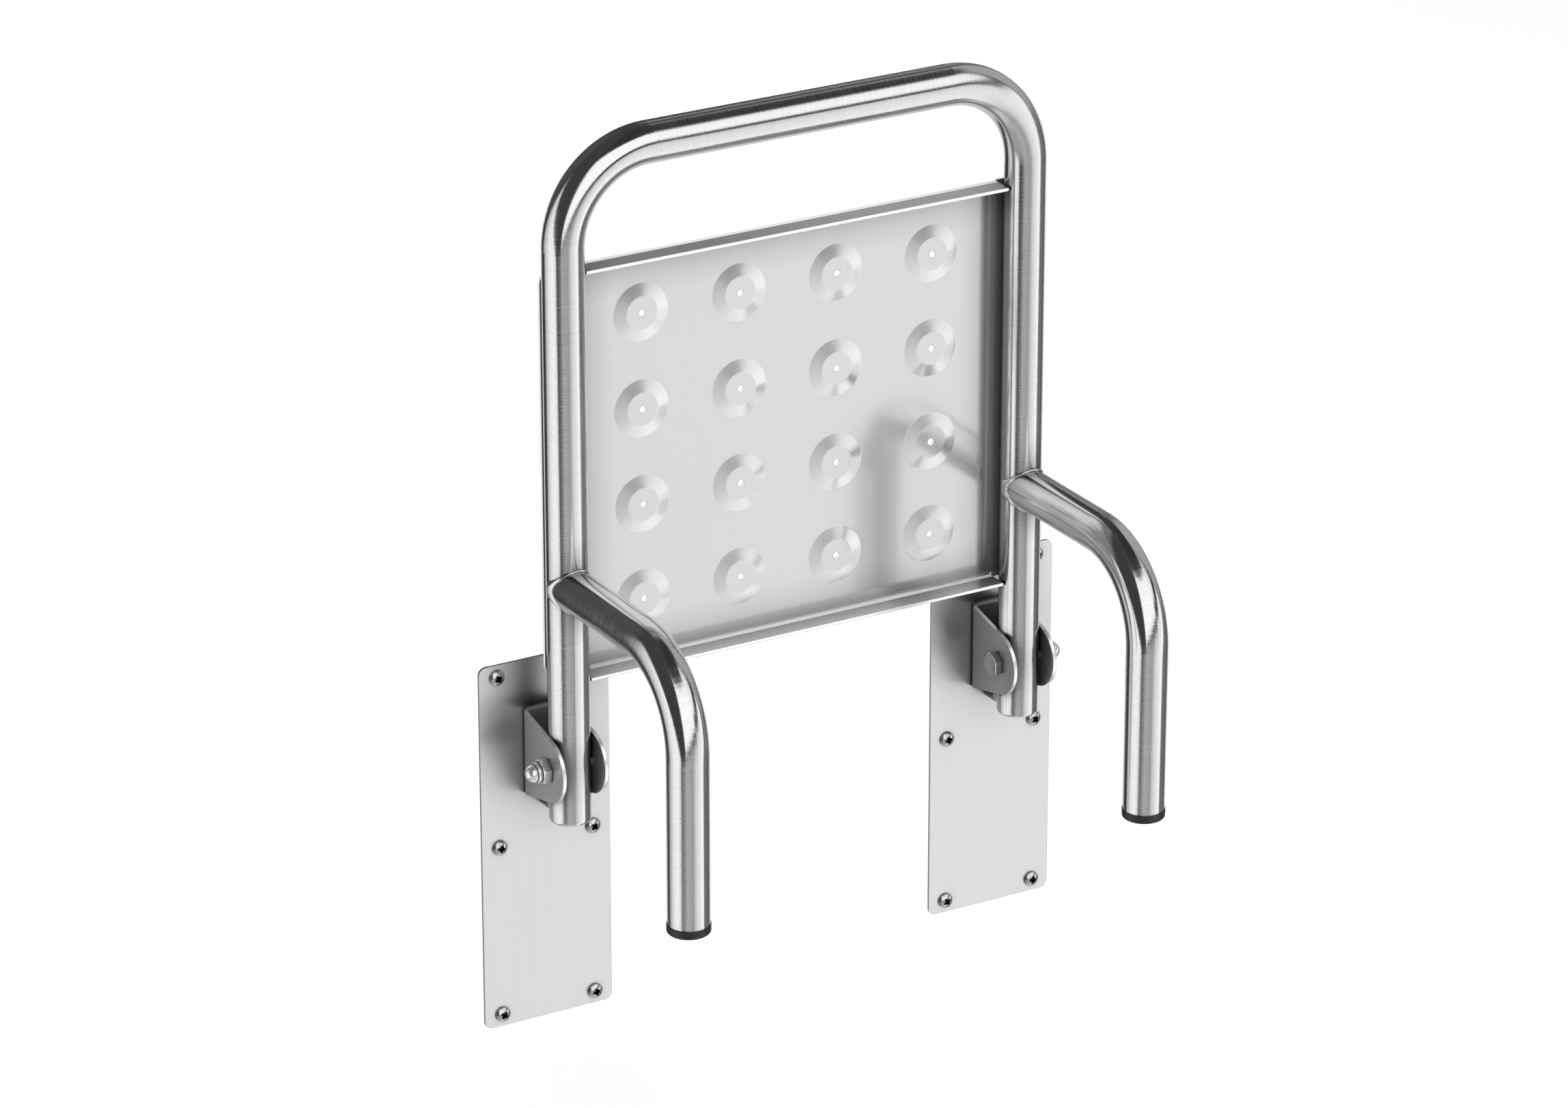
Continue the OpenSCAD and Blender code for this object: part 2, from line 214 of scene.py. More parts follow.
def makeWorld(settings, turn):
    world = bpy.data.worlds.new("studio")
    bpy.context.scene.world = world
    world.use_nodes = True
    tree = world.node_tree
    tree.nodes.clear()
    direction = addNode(tree, "ShaderNodeTexCoord").outputs["Generated"]
    ahead = (-sin(radians(turn)), cos(radians(turn)), 0)
    aside = (ahead[1], -ahead[0], 0)
    back = (-ahead[0], -ahead[1], 0)
    sideways, towards = (
        addNode(tree, "ShaderNodeVectorMath", {0: direction, 1: axis}, operation="DOT_PRODUCT")
        for axis in (aside, back))
    bearing = mathNode(tree, "ARCTAN2", sideways.outputs["Value"], towards.outputs["Value"])
    bearing = mathNode(tree, "DEGREES", bearing)
    upward = addNode(tree, "ShaderNodeSeparateXYZ", {0: direction}).outputs["Z"]
    height = mathNode(tree, "DEGREES", mathNode(tree, "ARCSINE", upward))
    softbox = roundTheRoom(tree, bearing, settings["softbox"])
    softbox = mixColor(tree, fitRange(tree, height, *settings["softboxTop"]), softbox,
                       grey(settings["ceilingTone"]))
    shift = fitRange(tree, height, *settings["shiftHeights"], 0, settings["tableShift"])
    table = roundTheRoom(tree, mathNode(tree, "SUBTRACT", bearing, shift), settings["table"])
    table = mixColor(tree, fitRange(tree, upward, *settings["nadirFrom"]), table,
                     grey(settings["nadirTone"]))
    overLow = slopingEdge(tree, bearing, height, settings["gapLow"], settings["lowFade"])
    overHigh = slopingEdge(tree, bearing, height, settings["gapHigh"], settings["highFade"])
    # a dark wedge parts the left softbox from the one overhead
    nearSide = mathNode(tree, "MULTIPLY_ADD", height, settings["leftLean"], bearing)
    farSide = mathNode(tree, "MULTIPLY_ADD", height, settings["farLean"], bearing)
    leftBox = mathNode(tree, "MULTIPLY", fitRange(tree, nearSide, *settings["leftSide"]),
                       fitRange(tree, farSide, *settings["farSide"]))
    rightBox = fitRange(tree, bearing, *settings["rightSide"])
    overHigh = mathNode(tree, "MULTIPLY", overHigh, mathNode(tree, "MAXIMUM", leftBox, rightBox))
    room = mixColor(tree, overLow, table, grey(settings["gapTone"]))
    room = mixColor(tree, overHigh, room, softbox)
    # the bright table goes on behind the seat
    turned = mathNode(tree, "ABSOLUTE", bearing)
    behind = mathNode(tree, "MULTIPLY", fitRange(tree, turned, *settings["behindFrom"]),
                      fitRange(tree, height, *settings["behindUnder"]))
    room = mixColor(tree, behind, room, grey(settings["behindTone"]))
    # flags to the rear, dark on the left and pale on the right, which the lowered seat reflects
    flags = mathNode(tree, "MULTIPLY", fitRange(tree, turned, *settings["rearFrom"]),
                     fitRange(tree, turned, *settings["rearTo"]))
    flags = mathNode(tree, "MULTIPLY", flags, fitRange(tree, height, *settings["rearOver"]))
    flags = mathNode(tree, "MULTIPLY", flags, fitRange(tree, height, *settings["rearTop"]))
    room = mixColor(tree, flags, room,
                    fitRange(tree, bearing, *settings["rearSides"], *settings["rearTones"]))
    rays = addNode(tree, "ShaderNodeLightPath")
    plain = addNode(tree, "ShaderNodeBackground", {"Color": grey(1), "Strength": settings["level"]})
    white = addNode(tree, "ShaderNodeBackground", {"Color": grey(1), "Strength": 1.0})
    mirrored = addNode(tree, "ShaderNodeBackground", {"Color": room, "Strength": 1.0})
    light = plain
    for ray, shader in (("Is Glossy Ray", mirrored), ("Is Camera Ray", white)):
        light = addNode(tree, "ShaderNodeMixShader",
                        {0: rays.outputs[ray], 1: light.outputs[0], 2: shader.outputs[0]})
    addNode(tree, "ShaderNodeOutputWorld", {"Surface": light.outputs[0]})


lampAim = (0, 0, 0.15)
lamps = [
    {"name": "key_lamp", "place": (-2.2, -2.6, 3.2), "size": 2.4, "power": 42},
    {"name": "fill_lamp", "place": (2.8, -2.4, 2.0), "size": 2.4, "power": 26},
    {"name": "rear_lamp", "place": (0.4, 2.8, 2.6), "size": 2.4, "power": 22},
]


def makeLamp(settings):
    data = bpy.data.lights.new(settings["name"], "AREA")
    data.size = settings["size"]
    data.energy = settings["power"]
    lamp = bpy.data.objects.new(settings["name"], data)
    bpy.context.scene.collection.objects.link(lamp)
    lamp.location = settings["place"]
    aim = Vector(lampAim) - lamp.location
    lamp.rotation_euler = aim.to_track_quat("-Z", "Y").to_euler()
    lamp.visible_glossy = False  # metal reflects the studio, not the lamps' outlines


def makeFloor(settings):
    shape = bmesh.new()
    bmesh.ops.create_grid(shape, x_segments=4, y_segments=4, size=settings["floorHalf"])
    bmesh.ops.translate(shape, vec=(0, 0, -settings["floorDrop"]), verts=shape.verts)
    mesh = bpy.data.meshes.new("floor")
    shape.to_mesh(mesh)
    shape.free()
    floor = bpy.data.objects.new("floor", mesh)
    bpy.context.scene.collection.objects.link(floor)
    material = bpy.data.materials.new("pale floor")
    material.use_nodes = True
    tree = material.node_tree
    shader = tree.nodes["Principled BSDF"]
    shader.inputs["Base Color"].default_value = grey(settings["floorTone"])
    shader.inputs["Roughness"].default_value = settings["floorRough"]
    shader.inputs["Specular IOR Level"].default_value = 0.0
    shader.inputs["Emission Color"].default_value = grey(1)
    rays = addNode(tree, "ShaderNodeLightPath")
    glow = mathNode(tree, "MULTIPLY", rays.outputs["Is Camera Ray"], settings["floorGlow"])
    tree.links.new(glow, shader.inputs["Emission Strength"])
    mesh.materials.append(material)
    floor.visible_glossy = False


makeCamera(cameraView)
makeWorld(studio, cameraView["turn"])
for settings in lamps:
    makeLamp(settings)
makeFloor(studio)
bpy.context.scene.view_settings.view_transform = "Standard"
print("camera, light and floor made")


# shared effects

def makeGrainGroup():
    # fine polishing lines: Vector is squeezed along the lines before it comes in
    group, inside, outside = newGroup(
        "polishing grain",
        [("Vector", "NodeSocketVector", None), ("Lines", "NodeSocketFloat", 900.0),
         ("Patches", "NodeSocketFloat", 14.0)],
        [("Line", "NodeSocketFloat"), ("Patch", "NodeSocketFloat")])
    fine = addNode(group, "ShaderNodeTexNoise",
                   {"Vector": inside.outputs["Vector"], "Scale": inside.outputs["Lines"],
                    "Detail": 3.0, "Roughness": 0.65})
    broad = addNode(group, "ShaderNodeTexNoise",
                    {"Vector": inside.outputs["Vector"], "Scale": inside.outputs["Patches"],
                     "Detail": 2.0, "Roughness": 0.5})
    group.links.new(fine.outputs["Fac"], outside.inputs["Line"])
    group.links.new(broad.outputs["Fac"], outside.inputs["Patch"])
    return group


def makeRunGroup():
    # distance along a bent bar: Level runs along the straight top, Upright along the leg
    group, inside, outside = newGroup(
        "run of a bent tube",
        [("Level", "NodeSocketFloat", 0.0), ("Upright", "NodeSocketFloat", 0.0),
         ("Level End", "NodeSocketFloat", 0.1), ("Upright End", "NodeSocketFloat", 0.4),
         ("Bend", "NodeSocketFloat", 0.07)],
        [("Run", "NodeSocketFloat")])
    levelEnd = inside.outputs["Level End"]
    uprightEnd = inside.outputs["Upright End"]
    overLevel = mathNode(group, "SUBTRACT", inside.outputs["Level"], levelEnd)
    overUpright = mathNode(group, "SUBTRACT", inside.outputs["Upright"], uprightEnd)
    straight = mathNode(group, "MINIMUM", inside.outputs["Level"], levelEnd)
    turn = mathNode(group, "ARCTAN2", mathNode(group, "MAXIMUM", overLevel, 0.0),
                    mathNode(group, "MAXIMUM", overUpright, 0.0001))
    bent = mathNode(group, "MULTIPLY", turn, inside.outputs["Bend"])
    below = mathNode(group, "MAXIMUM", mathNode(group, "MULTIPLY", overUpright, -1.0), 0.0)
    total = mathNode(group, "ADD", mathNode(group, "ADD", straight, bent), below)
    group.links.new(total, outside.inputs["Run"])
    return group


grainGroup = makeGrainGroup()
runGroup = makeRunGroup()


def newSteel(name, settings):
    material = bpy.data.materials.new(name)
    material.use_nodes = True
    tree = material.node_tree
    shader = tree.nodes["Principled BSDF"]
    shader.inputs["Base Color"].default_value = grey(settings["tone"])
    shader.inputs["Metallic"].default_value = settings.get("metallic", 1.0)
    shader.inputs["Roughness"].default_value = settings["roughness"]
    return material, tree, shader, ownPlace(tree)


def ownSpace(tree, vector, kind="VECTOR", back=False):
    # between the scene and the piece, so that a look turns with the piece it is on
    ends = ("OBJECT", "WORLD") if back else ("WORLD", "OBJECT")
    return addNode(tree, "ShaderNodeVectorTransform", {0: vector}, vector_type=kind,
                   convert_from=ends[0], convert_to=ends[1]).outputs[0]


def faceNormal(tree):
    shape = addNode(tree, "ShaderNodeNewGeometry")
    normal = ownSpace(tree, shape.outputs["True Normal"], "NORMAL")
    return addNode(tree, "ShaderNodeSeparateXYZ", {0: normal})


# a face is a sheet's edge where less than half of its normal lies along the sheet's own axis,
# and a pressed slope where nearly all of it does
edgeFacing = 0.5
slopeFacing = (0.9, 0.995)


def cutEdgeMask(tree, settings):
    # 1 on the sheared edges in front of the depth cutFrom
    facing = faceNormal(tree)
    aside = mathNode(tree, "ABSOLUTE", facing.outputs[settings["cutAxis"]])
    edge = mathNode(tree, "LESS_THAN", aside, edgeFacing)
    if settings["cutAxis"] == "Z":
        forward = mathNode(tree, "LESS_THAN", facing.outputs["Y"], -edgeFacing)
        edge = mathNode(tree, "MULTIPLY", edge, forward)
    inFront = mathNode(tree, "LESS_THAN", ownDepth(tree), settings["cutFrom"])
    return mathNode(tree, "MULTIPLY", edge, inFront)


def holeMask(tree, settings):
    # 1 on the walls of the holes through the sheet, which lie behind the depth holeFrom
    aside = mathNode(tree, "ABSOLUTE", faceNormal(tree).outputs["Y"])
    return mathNode(tree, "MULTIPLY", mathNode(tree, "LESS_THAN", aside, edgeFacing),
                    mathNode(tree, "GREATER_THAN", ownDepth(tree), settings["holeFrom"]))


def slopeMask(tree):
    # 1 on the sloping rings pressed into the sheet
    level = mathNode(tree, "ABSOLUTE", faceNormal(tree).outputs["Y"])
    return mathNode(tree, "MULTIPLY", mathNode(tree, "GREATER_THAN", level, slopeFacing[0]),
                    mathNode(tree, "LESS_THAN", level, slopeFacing[1]))


streakRough = 0.8  # how much of a line's tone goes into its roughness
raySamples = 6     # for the painted shade in crevices and for rounded edges


def finishSteel(tree, shader, vector, settings):
    grain = placeGroup(tree, grainGroup, {"Vector": vector, "Lines": settings["lines"],
                                          "Patches": settings["patches"]})
    shade = varied(tree, grain.outputs["Patch"], settings["tone"], settings["vary"])
    fine = varied(tree, grain.outputs["Line"], 0, settings["streak"])
    value = mathNode(tree, "ADD", shade, fine)
    if settings.get("edgeHighlightTone"):  # painted highlight: the sheared edges are made bright
        cut = cutEdgeMask(tree, settings)
        if settings.get("holeFrom"):  # painted light: a punched wall is made pale and matte, so that the holes look white
            wall = holeMask(tree, settings)
            cut = mathNode(tree, "MAXIMUM", cut, wall)
            metallic = settings["metallic"]
            metallic = mathNode(tree, "MULTIPLY_ADD", wall, -metallic, metallic)
            tree.links.new(metallic, shader.inputs["Metallic"])
        paintedHighlight = mathNode(tree, "MULTIPLY", cut, settings["edgeHighlightTone"] - settings["tone"])
        value = mathNode(tree, "ADD", value, paintedHighlight)
    if settings.get("slopeRough"):  # pressing leaves the sloping rings a little duller, and painted light makes them lighter
        slope = slopeMask(tree)
        value = mathNode(tree, "MULTIPLY_ADD", slope, settings["slopePaintedLight"], value)
    if settings.get("paintedShade"):  # painted shade: corners and joints are darkened by how much they are hidden
        hollow = addNode(tree, "ShaderNodeAmbientOcclusion",
                         {"Distance": settings["paintedShadeReach"]}, samples=raySamples)
        shadeFactor = mathNode(tree, "POWER", hollow.outputs["AO"], settings["paintedShade"])
        shadeFactor = mathNode(tree, "MAXIMUM", shadeFactor, settings.get("paintedShadeFloor", 0.0))
        if settings.get("edgeHighlightTone"):
            shadeFactor = mathNode(tree, "MAXIMUM", shadeFactor, cut)
        value = mathNode(tree, "MULTIPLY", value, shadeFactor)
    tree.links.new(oneTone(tree, value), shader.inputs["Base Color"])
    rough = varied(tree, grain.outputs["Patch"], settings["roughness"], settings["roughVary"])
    rough = mathNode(tree, "ADD", rough, mathNode(tree, "MULTIPLY", fine, streakRough))
    if settings.get("slopeRough"):
        rough = mathNode(tree, "MULTIPLY_ADD", slope, settings["slopeRough"], rough)
    tree.links.new(rough, shader.inputs["Roughness"])
    bump = addNode(tree, "ShaderNodeBump",
                   {"Height": grain.outputs["Line"], "Strength": settings["bump"],
                    "Distance": settings["bumpDepth"]})
    if settings.get("edge"):
        rounded = addNode(tree, "ShaderNodeBevel", {"Radius": settings["edge"]}, samples=raySamples)
        tree.links.new(rounded.outputs["Normal"], bump.inputs["Normal"])
    tree.links.new(bump.outputs["Normal"], shader.inputs["Normal"])


tubeFinish = {
    "stretch": 0.8, "squeeze": 0.02, "tone": 0.74, "roughness": 0.145, "roughVary": 0.015,
    "vary": 0.01, "streak": 0.035, "lines": 800.0, "patches": 30.0, "bump": 1.0,
    "bumpDepth": 0.00007, "paintedShade": 2.0, "paintedShadeReach": 0.03, "paintedShadeFloor": 0.25,
}
braceFinish = dict(tubeFinish, roughness=0.135)
# where the centre lines run: out to one side, the frame's to both, and up from the pivot axis
frameRun = {"axis": "X", "bothSides": True, "out": 0.198, "rise": 0.480, "bend": 0.070}
braceRun = {"axis": "Y", "bothSides": False, "out": 0.221, "rise": 0.146, "bend": 0.070}


def tubeMaterial(name, settings, course):
    # rings of fine polishing lines run round the tube, so the pattern follows its length
    material, tree, shader, place = newSteel(name, settings)
    axes = addNode(tree, "ShaderNodeSeparateXYZ", {0: place})
    outward = axes.outputs[course["axis"]]
    side = mathNode(tree, "SIGN", outward) if course["bothSides"] else -1.0
    level = mathNode(tree, "MULTIPLY", outward, side)
    levelEnd = course["out"] - course["bend"]
    uprightEnd = course["rise"] - course["bend"]
    run = placeGroup(tree, runGroup, {"Level": level, "Upright": axes.outputs["Z"],
                                      "Level End": levelEnd, "Upright End": uprightEnd,
                                      "Bend": course["bend"]})
    # the rings blur what the tube reflects along its length, so the tangent follows the run
    overLevel = mathNode(tree, "MAXIMUM", mathNode(tree, "SUBTRACT", level, levelEnd), 0.0)
    overUpright = mathNode(tree, "SUBTRACT", axes.outputs["Z"], uprightEnd)
    overUpright = mathNode(tree, "MAXIMUM", overUpright, 0.00001)  # so the tangent never vanishes
    along = addNode(tree, "ShaderNodeCombineXYZ",
                    {course["axis"]: mathNode(tree, "MULTIPLY", overUpright, side),
                     "Z": mathNode(tree, "MULTIPLY", overLevel, -1.0)})
    tree.links.new(ownSpace(tree, along.outputs[0], back=True), shader.inputs["Tangent"])
    shader.inputs["Anisotropic"].default_value = settings["stretch"]
    ring = [mathNode(tree, "MULTIPLY", axes.outputs[axis], settings["squeeze"]) for axis in "XY"]
    pattern = addNode(tree, "ShaderNodeCombineXYZ", {0: ring[0], 1: ring[1], 2: run.outputs["Run"]})
    finishSteel(tree, shader, pattern.outputs[0], settings)
    return material


# squeeze shortens a pattern's axes, so that its lines run along the small one
sheetFinish = {
    "squeeze": (1, 1, 0.02), "metallic": 0.7, "tone": 0.705, "roughness": 0.13, "roughVary": 0.01,
    "vary": 0.006, "streak": 0.008, "lines": 1100.0, "patches": 9.0, "bump": 0.3,
    "bumpDepth": 0.00001, "edge": 0.0011, "paintedShade": 0.85, "paintedShadeReach": 0.035,
    "edgeHighlightTone": 1.0, "cutAxis": "Z", "cutFrom": -0.0440,
    "holeFrom": -0.0300, "slopeRough": 0.05, "slopePaintedLight": 0.09,
}
plateFinish = {
    "squeeze": (1, 1, 0.012), "stretch": 0.6, "tone": 0.785, "roughness": 0.30, "roughVary": 0.02,
    "vary": 0.02, "streak": 0.018, "lines": 1600.0, "patches": 40.0, "bump": 0.6,
    "bumpDepth": 0.00003, "edge": 0.0005, "paintedShade": 0.7, "paintedShadeReach": 0.05,
}
bracketFinish = {
    "squeeze": (1, 0.03, 1), "metallic": 0.85, "tone": 0.57, "roughness": 0.32, "roughVary": 0.02,
    "vary": 0.015, "streak": 0.012, "lines": 900.0, "patches": 25.0, "bump": 0.3,
    "bumpDepth": 0.00002, "edge": 0.0007, "paintedShade": 0.2, "paintedShadeReach": 0.018,
    "edgeHighlightTone": 1.0, "cutAxis": "X", "cutFrom": -0.0055,
}
# the right bracket gets a darker copy of the bracket steel: painted shade
shadedBracketFinish = dict(bracketFinish, tone=0.42)
boltFinish = {
    "squeeze": (0.05, 1, 1), "tone": 0.58, "roughness": 0.2, "roughVary": 0.05,
    "vary": 0.04, "streak": 0.02, "lines": 1500.0, "patches": 200.0, "bump": 0.3,
    "bumpDepth": 0.00002, "edge": 0.0005, "paintedShade": 1.0, "paintedShadeReach": 0.008,
}
pegFinish = {
    "squeeze": (1, 0.1, 1), "tone": 0.4, "roughness": 0.3, "roughVary": 0.05,
    "vary": 0.04, "streak": 0.02, "lines": 1500.0, "patches": 200.0, "bump": 0.3,
    "bumpDepth": 0.00002, "edge": 0.0006, "paintedShade": 1.5, "paintedShadeReach": 0.03,
}
nutFinish = {
    "squeeze": (1, 0.2, 0.2), "metallic": 0.8, "tone": 0.92, "roughness": 0.19, "roughVary": 0.03,
    "vary": 0.02, "streak": 0.01, "lines": 1500.0, "patches": 120.0, "bump": 0.2,
    "bumpDepth": 0.00001, "edge": 0.0006, "paintedShade": 1.6, "paintedShadeReach": 0.006,
}
screwFinish = {
    "squeeze": (1, 1, 1), "tone": 0.62, "roughness": 0.18, "roughVary": 0.03,
    "vary": 0.02, "streak": 0.01, "lines": 1500.0, "patches": 200.0, "bump": 0.2,
    "bumpDepth": 0.00001, "edge": 0.0003, "paintedShade": 1.6, "paintedShadeReach": 0.006,
}
# painted shade: the recesses in the screw heads are coloured near black
recessShadeFinish = {
    "squeeze": (1, 1, 1), "tone": 0.015, "roughness": 0.5, "roughVary": 0.05, "vary": 0.006,
    "streak": 0.003, "lines": 1500.0, "patches": 300.0, "bump": 0.3, "bumpDepth": 0.00002,
}
weldFinish = {
    "squeeze": (1, 1, 1), "tone": 0.78, "roughness": 0.17, "roughVary": 0.04,
    "vary": 0.04, "streak": 0.03, "lines": 700.0, "patches": 160.0, "bump": 0.6,
    "bumpDepth": 0.0001, "edge": 0.0012,
}


def grainedMaterial(name, settings):
    material, tree, shader, place = newSteel(name, settings)
    if settings.get("stretch"):
        across = addNode(tree, "ShaderNodeCombineXYZ", {"X": 1.0})
        tree.links.new(ownSpace(tree, across.outputs[0], back=True), shader.inputs["Tangent"])
        shader.inputs["Anisotropic"].default_value = settings["stretch"]
    mapping = addNode(tree, "ShaderNodeMapping", {"Vector": place, "Scale": settings["squeeze"]})
    finishSteel(tree, shader, mapping.outputs[0], settings)
    return material


plasticFinish = {
    "tone": 0.012, "toneShares": (0.8, 1.3), "roughness": 0.42, "roughVary": 0.06,
    "clouds": 60.0, "pits": 1800.0, "bump": 0.2, "bumpDepth": 0.00005,
}


def plasticMaterial(name, settings):
    material = bpy.data.materials.new(name)
    material.use_nodes = True
    tree = material.node_tree
    shader = tree.nodes["Principled BSDF"]
    noises = [addNode(tree, "ShaderNodeTexNoise",
                      {"Vector": ownPlace(tree), "Scale": settings[kind], "Detail": detail})
              for kind, detail in (("pits", 2.0), ("clouds", 3.0))]
    pits, clouds = (noise.outputs["Fac"] for noise in noises)
    value = fitRange(tree, clouds, *noiseSpan,
                     *(settings["tone"] * share for share in settings["toneShares"]))
    tree.links.new(oneTone(tree, value), shader.inputs["Base Color"])
    rough = varied(tree, clouds, settings["roughness"], settings["roughVary"])
    tree.links.new(rough, shader.inputs["Roughness"])
    bump = addNode(tree, "ShaderNodeBump", {"Height": pits, "Strength": settings["bump"],
                                            "Distance": settings["bumpDepth"]})
    tree.links.new(bump.outputs["Normal"], shader.inputs["Normal"])
    return material


frameSteel = tubeMaterial("frame tube steel", tubeFinish, frameRun)
braceSteel = tubeMaterial("brace tube steel", braceFinish, braceRun)
panelSteel = grainedMaterial("panel sheet steel", sheetFinish)
plateSteel = grainedMaterial("plate steel", plateFinish)
bracketSteel = grainedMaterial("bracket steel", bracketFinish)
shadedBracketSteel = grainedMaterial("right bracket steel with painted shade", shadedBracketFinish)
boltSteel = grainedMaterial("bolt steel", boltFinish)
pegSteel = grainedMaterial("stop peg steel", pegFinish)
nutSteel = grainedMaterial("dome nut steel", nutFinish)
screwSteel = grainedMaterial("screw steel", screwFinish)
weldSteel = grainedMaterial("weld steel", weldFinish)
blackPlastic = plasticMaterial("black plastic", plasticFinish)
recessShade = grainedMaterial("painted shade in screw recess", recessShadeFinish)

finishes = {
    "seat_frame": frameSteel, "brace_left": braceSteel, "brace_right": braceSteel,
    "seat_panel": panelSteel, "wall_plate_left": plateSteel, "wall_plate_right": plateSteel,
    "hinge_bracket_left": bracketSteel, "hinge_bracket_right": shadedBracketSteel,
    "pivot_bolt_left": boltSteel, "pivot_bolt_right": boltSteel,
    "stop_peg_left": pegSteel, "stop_peg_right": pegSteel,
    "dome_nut_left": nutSteel, "dome_nut_right": nutSteel,
    "wall_screws_left": screwSteel, "wall_screws_right": screwSteel,
    "brace_weld_left": weldSteel, "brace_weld_right": weldSteel,
    "end_cap_left": blackPlastic, "end_cap_right": blackPlastic,
}
for name, material in finishes.items():
    for slot in nodes[name].material_slots:
        slot.material = material
print("finishes given to", len(finishes), "nodes")


# fasteners are shaped in millimetres about +Z, then set in place

toMetres = 0.001
overlap = 0.1  # how far joined shapes run into each other


def turnProfile(shape, profile, steps=64):
    # profile runs from axis to axis as (height, radius) points
    corners = [shape.verts.new((radius, 0, height)) for height, radius in profile]
    lines = [shape.edges.new(pair) for pair in zip(corners, corners[1:])]
    bmesh.ops.spin(shape, geom=corners + lines, cent=(0, 0, 0), axis=(0, 0, 1),
                   angle=2 * pi, steps=steps, use_merge=True)
    bmesh.ops.remove_doubles(shape, verts=shape.verts, dist=0.0005)
    bmesh.ops.recalc_face_normals(shape, faces=shape.faces)


def meshFrom(shape, name):
    mesh = bpy.data.meshes.new(name)
    shape.to_mesh(mesh)
    shape.free()
    return mesh


def combineSolids(base, tool, operation):
    objects = [bpy.data.objects.new("workpiece", base), bpy.data.objects.new("tool", tool)]
    for item in objects:
        bpy.context.scene.collection.objects.link(item)
    step = objects[0].modifiers.new("combine", "BOOLEAN")
    step.operation = operation
    step.solver = "EXACT"
    step.object = objects[1]
    bpy.context.view_layer.update()
    graph = bpy.context.evaluated_depsgraph_get()
    result = bpy.data.meshes.new_from_object(objects[0].evaluated_get(graph))
    for item in objects:
        bpy.data.objects.remove(item)
    return result


def placePiece(name, parts, materials, body, replaced, sharp):
    shape = bmesh.new()
    for mesh, matrix in parts:
        before = set(shape.verts)
        shape.from_mesh(mesh)
        added = [vert for vert in shape.verts if vert not in before]
        bmesh.ops.transform(shape, matrix=matrix @ Matrix.Scale(toMetres, 4), verts=added)
    mesh = meshFrom(shape, name)
    for material in materials:
        mesh.materials.append(material)
    for face in mesh.polygons:
        face.use_smooth = True
    mesh.set_sharp_from_angle(angle=radians(sharp))
    piece = bpy.data.objects.new(name, mesh)
    bpy.context.scene.collection.objects.link(piece)
    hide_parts(replaced)
    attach(piece, body)


def hexagonBlock(settings, height):
    # hexagon with its outer corners turned off, on a round seat
    prism = bmesh.new()
    corner = settings["acrossFlats"] / 2 / cos(pi / 6)
    foot = settings["seatHeight"]
    bmesh.ops.create_cone(prism, cap_ends=True, cap_tris=False, segments=6,
                          radius1=corner, radius2=corner, depth=height - foot)
    bmesh.ops.translate(prism, vec=(0, 0, (height + foot) / 2), verts=prism.verts)
    turned = bmesh.new()
    crown = settings["acrossFlats"] / 2 * settings["crownShare"]
    clear = corner + settings["clearance"]
    drop = (clear - crown) * tan(radians(settings["crownAngle"]))
    turnProfile(turned, [(0, 0), (0, clear), (height - drop, clear), (height, crown), (height, 0)])
    block = combineSolids(meshFrom(prism, "prism"), meshFrom(turned, "turned"), "INTERSECT")
    seat = bmesh.new()
    reach = settings["seatRadius"]
    turnProfile(seat, [(0, 0), (0, reach), (foot + overlap, reach), (foot + overlap, 0)])
    return [block, meshFrom(seat, "seat")]


sides = {"left": -1, "right": 1}
tubeX = 0.198  # metres from the middle to each side tube

screwShape = {
    "across": 0.040, "heights": (0.065, -0.075, -0.215), "front": -0.002,  # metres
    "radius": 6.0, "rim": 1.7, "height": 4.0, "footEdge": 0.15,
    "edge": 0.35, "edgeAngle": 62, "edgeSteps": 4, "domeInset": 0.9, "domeSteps": 12,
    "neck": 2.6, "plate": 2.0, "shank": 3.0, "reach": 16.0, "tip": 2.2, "taper": 1,
    "armLength": 3.7, "armWidth": 1.2, "armTip": 0.6, "corner": 1.55,
    "deep": 2.4, "footShare": 0.55, "slack": 0.1, "skin": 0.12,
    "turns": (22, 64, 40, 12, 78, 33), "sharp": 38,  # degrees
}


